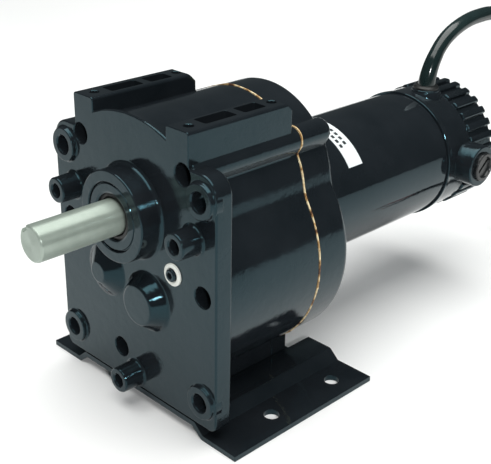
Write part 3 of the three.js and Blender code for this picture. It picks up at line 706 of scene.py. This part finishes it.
def rail(side):
    """A mounting rail on the case's top, with two pockets and two holes for tapping."""
    x = RAIL_X if side > 0 else (-RAIL_X[1], -RAIL_X[0])
    outline = rounded_rect(x[0], x[1], 18.0, RAIL_TOP_Z, (1.0, 1.0, 1.6, 1.6))
    body = softened(outline, 0.0, RAIL_REAR_Y, 0.5, 1.5)
    slope = moved(block((-60, 60), (0, 30), (0, 30)), (45, 0, 0), (0, RAIL_REAR_Y, 47.5))
    inner_wall, outer_wall = 2.6, 4.4
    pocket_x = sorted((side * (RAIL_X[0] + inner_wall), side * (RAIL_X[1] - outer_wall)))
    pockets = [block(pocket_x, y, (40, RAIL_TOP_Z + 4), 1.2) for y in RAIL_POCKETS_Y]
    hole = [(0, 40), (2.6, 40), (2.6, RAIL_TOP_Z - 0.3), (2.9, RAIL_TOP_Z), (2.9, 60), (0, 60)]
    tapped_x, tapped_y = RAIL_TAPPED
    tapped = [upright(turned(hole, OUT, 40), side * tapped_x, y) for y in tapped_y]
    return cut(body, slope, *pockets, *tapped)


def foot_outline():
    """The block under the case that the base plate is screwed to."""
    return rounded_rect(-FOOT_HALF_W, FOOT_HALF_W, BASE_WEB_Z, FOOT_TOP_Z, (1, 1, 1, 1))


def crown_part(layers):
    """The raised crown between the rails, through layers of (y, top z)."""
    root = [(-CROWN_HALF_W, CROWN_ROOT_Z), (CROWN_HALF_W, CROWN_ROOT_Z)]
    return lofted([(y, [*root, *arc((0, top - CROWN_R), CROWN_R, 66, 114, 24)]) for y, top in layers])


def make_front_housing():
    corners = (5, 5, 11, 11)
    edges = rounded_rect(-FACE_HALF_W, FACE_HALF_W, FACE_BOTTOM_Z, FACE_SHOULDER_Z, corners, 10)
    plate = softened(edges, 0.0, FACE_THICK, 1.1, 1.6)
    case = softened(case_outline(), 2.0, SEAM_Y, 1.0, 0.5)
    crown = crown_part(((0.9, 51.4), (13.0, 48.6)))
    crown_nose = crown_part(((0.0, 50.6), (0.3, 51.1), (0.95, 51.4)))
    foot = softened(foot_outline(), 6, SEAM_Y, 0.5, 0.3)
    body = joined(plate, case, crown, crown_nose, foot, rail(-1), rail(1))
    body = cut(body, cavity(CAVITY_Y, SEAM_Y + 1))
    bosses = [
        filleted_boss(OUT, 24.5, BOSS_Y, fillet=2.2, edge=0.8, draft=0.2, sink=20, steps=144),
        filleted_cone(FIRST, 16.0, 11.6, -8.0),
        filleted_cone(SECOND, 14.3, 6.6, -6.5),
        *[rod(BUSH_BOSS_R, 2, 20.5, at, 48) for at in (FIRST, SECOND)],
        *[filleted_boss(at, 7.1, BOSS_Y, fillet=1.6, edge=1.0, draft=0.2) for at in STANDOFFS],
        *[filleted_boss(at, 9.3, CORNER_RING_Y, fillet=1.2, edge=0.7, draft=0.1) for at in CORNER_HOLES],
    ]
    body = joined(body, *bosses)
    holes = [
        chamfered_hole(OUT, SEAL_R + 0.05, BOSS_Y, -3.5, 0.4, 128),
        rod(BEARING_R + 0.05, -4.5, 22, OUT, 96),
        *[chamfered_hole(at, 5.0, CORNER_RING_Y, FACE_THICK + 2, 0.7) for at in CORNER_HOLES],
        *[chamfered_hole(at, 3.6, BOSS_Y, 6, 0.7, 48) for at in STANDOFFS],
        *[chamfered_hole(at, 5.6, 0, 26, 0.5) for at in CASE_SCREWS],
        *[rod(3.3, 20, SEAM_Y + 1, at, 24) for at in CASE_SCREWS],
        rod(3.6, -1, CAVITY_Y + 1, FILL_PLUG, 40),
        *[rod(BUSH_R, 9, 23, at, 40) for at in (FIRST, SECOND)],
        *[upright(rod(BASE_SCREW_HOLE_R, -110, -94.5, OUT, 20), x, y) for x, y in BASE_SCREWS],
    ]
    body = cut(body, *holes)
    settle(body, "front_case_casting", CASTING, "frame", ["front_housing"])


def make_rear_cover():
    y0, y1 = SEAM_Y + GASKET_T, COVER_REAR_Y
    case = softened(case_outline(), y0, y1, 0.5, 4.5, 8)
    foot = softened(foot_outline(), y0, 88, 0.3, 1.2)
    body = joined(case, foot)
    body = cut(body, cavity(y0 - 1, COVER_WALL_Y))
    bosses = [rod(11, 80, 91, FIRST, 48), rod(11, 80, 91, SECOND, 48), rod(15, 78, 91, OUT, 64)]
    body = joined(body, *bosses)
    holes = [
        *[rod(2.8, y0 - 1, 96, at, 24) for at in CASE_SCREWS],
        *[rod(BUSH_R, 70, 88, at, 40) for at in (FIRST, SECOND)],
        rod(11.5, 70, 87, OUT, 64),
        rod(9, 70, 101, MOTOR, 48),
        rod(MOTOR_BEARING_R, 91, 101, MOTOR, 64),
        *[rod(BOLT_HOLE_R, 93, 101, at, 24) for at in THROUGH_BOLTS],
    ]
    body = cut(body, *holes)
    settle(body, "rear_case_casting", CASTING, "frame", ["rear_cover"])


def make_gasket():
    """A thin sheet squeezed out a little unevenly between the castings."""
    y0, y1 = SEAM_Y + SKIN, SEAM_Y + GASKET_T - SKIN
    proud = 0.35
    edge = case_outline()(-proud)
    sheet = cut(lofted([(y0, edge), (y1, edge)]), cavity(SEAM_Y - 1, SEAM_Y + 2))
    for v in sheet.data.vertices:
        from_case = Vector((v.co.x, 0, v.co.z - CASE_Z))
        angle = math.atan2(from_case.z, from_case.x)
        ragged = 0.5 + 0.5 * math.sin(19 * angle + 2 * math.sin(7 * angle)) * math.cos(5 * angle + 1)
        if from_case.length > CASE_R - 1 or math.hypot(v.co.x, v.co.z) > TOP_R - 1:
            v.co += from_case.normalized() * proud * (ragged - 0.4)
    settle(sheet, "case_gasket_sheet", FIBRE, "frame", ["case_gasket"])


# ---- Base plate ----
def make_base_plate():
    """A pressed sheet: a raised web, two S-bends and two flanges."""
    top_web, top_foot = BASE_WEB_Z - BASE_T / 2, FLOOR_Z + BASE_T / 2
    lean = math.degrees(math.atan2(top_web - top_foot, 4.5))
    bend, reach = BASE_BEND_R, 1.2
    inner, outer = BASE_SLOPE_X
    right = [(0, top_web), *arc((inner - reach, top_web - bend), bend, 90, 90 - lean, 5),
             *arc((outer + reach, top_foot + bend), bend, 270 - lean, 270, 5), (BASE_HALF_W, top_foot)]
    middle = [(-x, z) for x, z in reversed(right[1:])] + right
    above, below = [], []
    for i, (x, z) in enumerate(middle):
        before, after = middle[max(i - 1, 0)], middle[min(i + 1, len(middle) - 1)]
        along = Vector((after[0] - before[0], after[1] - before[1])).normalized()
        across = Vector((-along.y, along.x)) * (BASE_T / 2)
        above.append((x + across.x, z + across.y))
        below.append((x - across.x, z - across.y))
    outline = above[::-1] + below
    sheet = lofted([(0.0, outline), (BASE_LEN, outline)])
    notch = block((-30, 30), (90, 120), (-120, -95))
    foot_hole_r = 4.35
    holes = [upright(rod(foot_hole_r, -120, -95, OUT, 48), x, y) for x, y in BASE_HOLES]
    holes += [upright(rod(BASE_SCREW_HOLE_R, -120, -95, OUT, 24), x, y) for x, y in BASE_SCREWS]
    body = cut(sheet, notch, *holes)
    settle(body, "pressed_base_plate", SHEET, "frame", ["base_plate"], bevel=0.35)


# ---- Motor shell ----
def make_motor_can():
    inner, edge = CAN_R - CAN_WALL, 0.5
    y0, y1 = COVER_REAR_Y + SKIN, CAN_REAR_Y
    shell = turned([
        (inner, y0), (CAN_R - edge, y0), (CAN_R, y0 + edge), (CAN_R, y1 - edge), (CAN_R - edge, y1),
        (inner, y1), (inner, y0),
    ], MOTOR, 192)
    settle(shell, "motor_tube", TUBE, "frame", ["motor_can"])


def ribbed_outline(inset, count=30, root=39.6, crest=42.0):
    """Lobes round the end bell, with rounded crests."""
    points = []
    pitch = 2 * math.pi / count
    rise = [(0.34, root), (0.31, root + 0.4), (0.28, crest - 0.7), (0.22, crest - 0.15), (0.1, crest)]
    stations = [(-share, radius) for share, radius in rise] + rise[::-1]
    for i in range(count):
        for share, radius in stations:
            a = (i + 0.5 + share) * pitch
            r = radius - inset
            points.append((MOTOR[0] + r * math.cos(a), MOTOR[1] + r * math.sin(a)))
    return points


def make_end_bell():
    y0 = CAN_REAR_Y
    shell = turned([
        (0, 262), (13.5, 262), (16, 257), (33, 257), (37.8, 250), (37.8, y0), (BELL_R + 0.1, y0),
        (BELL_R + 0.4, y0 + 0.3), (BELL_R + 0.4, y0 + 2.6), (BELL_R - 0.1, y0 + 3.6),
        (BELL_R - 0.4, y0 + 4.6), (BELL_R - 0.4, 247.5), (BELL_R - 1.2, 249.5), (38, 251), (38, 268),
        (37, 269), (18.2, 269), (16.6, 270), (15.7, 272.6), (14.9, 273.4), (0, 273.4),
    ], MOTOR, 180)
    lobes = softened(ribbed_outline, 249, BELL_REAR_Y, 1.5, 1.0, 3)
    lobes = cut(lobes, rod(36.6, 245, 280, MOTOR, 120))
    boss_profile = [(0, 34), (12.2, 34), (13.5, 40), *arc((12.5, 51), 1.0, 0, 90, 4), (0, 52)]
    flare = [(0, 10), (12, 10), (10.2, 15.6), (9, 17.4), *arc((8.2, 17.8), 0.8, 0, 90, 3), (0, 18.6)]
    cable_boss = upright(turned(flare, OUT, 64), *CABLE_EXIT)
    brush_bosses = [sideways(turned(boss_profile, OUT, 96), side) for side in (-1, 1)]
    body = joined(shell, lobes, *brush_bosses, cable_boss)
    holes = [
        rod(MOTOR_BEARING_R, 255, 269.1, MOTOR, 64),
        *[sideways(rod(9.6, 20, 60, OUT, 64), side) for side in (-1, 1)],
        upright(rod(CABLE_BORE_R, 5, 25, OUT, 48), *CABLE_EXIT),
        *[rod(BOLT_HOLE_R, 220, 280, at, 24) for at in THROUGH_BOLTS],
        *[rod(5.4, 266, 280, at, 40) for at in THROUGH_BOLTS],
    ]
    body = cut(body, *holes)
    settle(body, "end_bell_casting", CASTING, "frame", ["end_bell"])


def make_label():
    """A plain film label round the can, with short bars in place of print."""
    def patch(name, y0, y1, from_deg, to_deg, radius, lift, material, slot, replaces=()):
        steps = max(int((to_deg - from_deg) / 1.5), 2)
        inner = arc(MOTOR, radius, from_deg, to_deg, steps)
        outer = arc(MOTOR, radius + lift, to_deg, from_deg, steps)
        section = inner + outer
        piece = lofted([(y0, section), (y1, section)])
        settle(piece, name, material, "frame", replaces, sharp=50)

    film_r, ink_r = CAN_R + 0.06, CAN_R + 0.37
    patch("rating_label_film", *LABEL_Y, *LABEL_TURN, film_r, 0.3, FILM, "label_film", ["rating_label"])
    rows = ((134.0, 136.2, 52.0), (138.2, 140.4, 54.0))
    pitch, width = 5.4, 3.4
    for row, (y0, y1, first) in enumerate(rows, 1):
        for i in range(4):
            start = first + i * pitch
            patch(f"label_bar_{row}_{i + 1}", y0, y1, start, start + width, ink_r, 0.05, INK, "label_film")


# ---- Output shaft, seal and fittings ----
def make_output_shaft():
    """The shaft with its bearing collar, the keyway at its end and the one under the gear."""
    y = SHAFT_TIP_Y
    body = turned([
        (0, y), (SHAFT_R - 1.1, y), (SHAFT_R - 0.3, y + 0.5), (SHAFT_R, y + 1.1), (SHAFT_R, 7), (11.5, 7),
        (11.5, 19), (SHAFT_R, 19), (SHAFT_R, 42), (7, 42), (7, 86.5), (0, 86.5),
    ], OUT, 128)
    half, depth = KEY["width"] / 2, SHAFT_R - KEY["sink"]
    slot = block((-half, half), (y - 1, y + KEY["length"]), (depth, SHAFT_R + 2))
    gear_slot = block((-3, 3), (20, 43), (SHAFT_R - 2, SHAFT_R + 2))
    body = cut(body, moved(slot, (0, 90 - KEY["turn"], 0)), gear_slot)
    settle(body, "keyed_output_shaft", SHAFT_STEEL, "output", ["output_shaft"], bevel=0.12)


def make_seal():
    """The seal's painted case, and the rubber lip round the shaft."""
    y = BOSS_Y + 0.4
    case = turned([
        (12.4, y + 0.5), (13.2, y + 0.1), (13.9, y), (SEAL_R - 1.1, y), (SEAL_R - 0.8, y + 0.5),
        (SEAL_R - 0.35, y + 0.6), (SEAL_R, y + 0.8), (SEAL_R, -5), (12.4, -5), (12.4, y + 0.5),
    ], OUT, 144)
    settle(case, "oil_seal_case", SEAL, "frame", ["output_oil_seal"])
    lip = turned([
        (SHAFT_R + 0.12, y + 2.2), (10.6, y + 1.0), (12.3, y + 1.4), (12.3, -6), (11.4, -6),
        (10.6, y + 3.4), (SHAFT_R + 0.12, y + 2.8), (SHAFT_R + 0.12, y + 2.2),
    ], OUT, 128)
    settle(lip, "oil_seal_lip", LIP, "frame")


def hex_recess(radius, y0, y1, at):
    return rod(radius, y0, y1, at, 6)


def make_fittings():
    """Screws, long bolts, the oil plug with its washer, and the collar round the cable."""
    for i, at in enumerate(CASE_SCREWS, 1):
        body = turned([
            (0, 20.7), (4.2, 20.7), (4.7, 21.2), (4.7, 25.7), (2.5, 25.7), (2.5, 94.6), (2.1, 95), (0, 95),
        ], at, 48)
        body = cut(body, hex_recess(2.4, 19, 23.7, at))
        settle(body, f"case_cap_screw_{i}", OXIDE, "frame", [f"case_screw_{i}"])
    plug = turned([(0, -2.6), (2.8, -2.6), (3.3, -2.1), (3.3, 10.6), (2.9, 11), (0, 11)], FILL_PLUG, 48)
    plug = cut(plug, hex_recess(1.9, -4, -0.4, FILL_PLUG))
    settle(plug, "oil_plug_screw", CASTING, "frame", ["oil_plug"])
    washer = turned([
        (3.6, -0.02), (6, -0.02), (6, -0.9), (5.5, -1.3), (4.1, -1.3), (3.6, -0.9), (3.6, -0.02),
    ], FILL_PLUG, 72)
    settle(washer, "oil_plug_seal_ring", NYLON, "frame", ["oil_plug_washer"])
    seat = BASE_WEB_Z - BASE_T
    for i, (x, y) in enumerate(BASE_SCREWS, 1):
        body = turned([
            (0, seat - 3.2), (3.4, seat - 3.2), (4.6, seat - 2.2), (4.6, seat), (2.2, seat), (2.2, -95),
            (0, -95),
        ], OUT, 48)
        body = upright(cut(body, hex_recess(1.7, seat - 5, seat - 1.4, OUT)), x, y)
        settle(body, f"base_cap_screw_{i}", OXIDE, "frame", [f"base_screw_{i}"])
    for i, at in enumerate(THROUGH_BOLTS, 1):
        body = turned([
            (0, 94), (2, 94), (2, 266), (4.4, 266), (4.4, 268.9), (3.6, 269.8), (0, 269.8),
        ], at, 48)
        body = cut(body, block((at[0] - 6, at[0] + 6), (268.6, 272), (at[1] - 0.6, at[1] + 0.6)))
        settle(body, f"long_motor_bolt_{i}", ZINC, "frame", [f"through_bolt_{i}"])
    collar = upright(turned([
        (5.2, 8), (5.9, 8), (5.9, 18.7), (8.2, 18.7), (8.2, 19.8), (7.2, 20.8), (6.2, 21), (5.2, 21),
        (5.2, 8),
    ], OUT, 64), *CABLE_EXIT)
    settle(collar, "cable_grommet_collar", LIP, "frame", ["cable_grommet"])


def make_brush_caps():
    """The screwed caps over the brushes, each with a screwdriver slot turned by 40 degrees."""
    for side, word in ((1, "right"), (-1, "left")):
        cap = turned([
            (0, 48), (9.3, 48), (9.3, 53.4), *arc((8.5, 53.6), 0.8, 0, 90, 4), (7.2, 54.4), (6.7, 53.9),
            (6.4, 52.8), (5.9, 52.6), (0, 52.6),
        ], OUT, 80)
        cap = sideways(cap, side, 0, 0)
        slot_x = (40, 60) if side > 0 else (-60, -40)
        cap = cut(cap, moved(block(slot_x, (-7, 7), (-0.9, 0.9)), (40, 0, 0)))
        slot_floor = sideways(rod(8, 48.5, 51.3, OUT, 64), side, 0, 0)
        cap = moved(joined(cap, slot_floor), shift=(0, BRUSH_Y, MOTOR[1]))
        settle(cap, f"slotted_brush_cap_{word}", CAP, "frame", [f"brush_cap_{word}"])


make_front_housing()
make_rear_cover()
make_gasket()
make_base_plate()
make_motor_can()
make_end_bell()
make_label()
make_output_shaft()
make_seal()
make_fittings()
make_brush_caps()


# ---- CAD nodes that stay as they are ----
CAD_LOOKS = {
    "output_gear": GEAR_STEEL, "idler_1_gear": GEAR_STEEL, "idler_2_gear": GEAR_STEEL,
    "idler_1_pinion": GEAR_STEEL, "idler_2_pinion": GEAR_STEEL, "motor_pinion": GEAR_STEEL,
    "idler_1_shaft": GROUND, "idler_2_shaft": GROUND, "motor_shaft": GROUND,
    "armature_stack": LAMINATED, "winding_front": COPPER_WIRE, "winding_rear": COPPER_WIRE,
    "commutator": SEGMENT_COPPER, "magnet_right": FERRITE, "magnet_left": FERRITE,
    "brush_right": CARBON, "brush_left": CARBON, "brush_holder_right": NYLON, "brush_holder_left": NYLON,
    "brush_spring_right": ZINC, "brush_spring_left": ZINC,
}


def dress_cad_nodes():
    for name, obj in NODES.items():
        bush = name.endswith("bush")
        material = CAD_LOOKS.get(name, BRONZE if bush else GROUND)
        obj.data.materials.clear()
        obj.data.materials.append(material)
        obj.data.shade_smooth()
        obj.data.set_sharp_from_angle(angle=math.radians(30))


dress_cad_nodes()


# ---- Floor, wall, sky and lights, in metres ----
FLOOR_R, WALL_R = 1.5, 5.0
SKY_COLOR, SKY_STRENGTH = (0.8, 0.95, 1.0, 1.0), 0.07


def make_floor():
    bm = bmesh.new()
    bmesh.ops.create_circle(bm, cap_ends=True, segments=128, radius=FLOOR_R)
    floor = new_object("floor", bm)
    n = Nodes("pale_floor")
    paper = n.ramp(n.noise(3.0), [(0.3, (0.86, 0.87, 0.87)), (0.7, (0.9, 0.9, 0.9))])
    n.set(base_color=paper, roughness=0.6)
    floor.data.materials.append(n.material)


def make_backdrop():
    """A white wall all round beyond the floor. It lights nothing and mirrors in nothing."""
    bm = bmesh.new()
    bmesh.ops.create_uvsphere(bm, u_segments=64, v_segments=32, radius=WALL_R)
    wall = new_object("backdrop", bm)
    n = Nodes("white_wall")
    n.set(base_color=(0, 0, 0), specular_ior_level=0.0)
    n.set(emission_color=(1, 1, 1), emission_strength=1.0)
    wall.data.materials.append(n.material)
    for rays in ("diffuse", "glossy", "transmission", "volume_scatter", "shadow"):
        setattr(wall, f"visible_{rays}", False)


def area_light(name, place, target, size, power, color=(1, 1, 1), glossy=True):
    data = bpy.data.lights.new(name, "AREA")
    data.shape = "RECTANGLE"
    data.size, data.size_y = size
    data.energy = power
    data.color = color
    light = bpy.data.objects.new(name, data)
    bpy.context.scene.collection.objects.link(light)
    light.location = place
    light.rotation_euler = (Vector(target) - Vector(place)).to_track_quat("-Z", "Y").to_euler()
    light.visible_glossy = glossy


def make_light():
    world = bpy.data.worlds.new("studio")
    world.use_nodes = True
    background = world.node_tree.nodes["Background"]
    background.inputs["Color"].default_value = SKY_COLOR
    background.inputs["Strength"].default_value = SKY_STRENGTH
    scene = bpy.context.scene
    scene.world = world
    scene.view_settings.view_transform = "Standard"
    middle = (0.0, 0.0, 0.08)
    area_light("overhead", (0.0, -0.1, 2.2), middle, (2.6, 2.6), 88.0, (1, 1, 0.98))
    area_light("near_camera", (0.95, -0.72, 0.62), middle, (0.07, 0.07), 6.0)
    area_light("behind", (-0.3, 1.7, 1.0), middle, (1.2, 0.25), 6.0, glossy=False)


make_floor()
make_backdrop()
make_light()
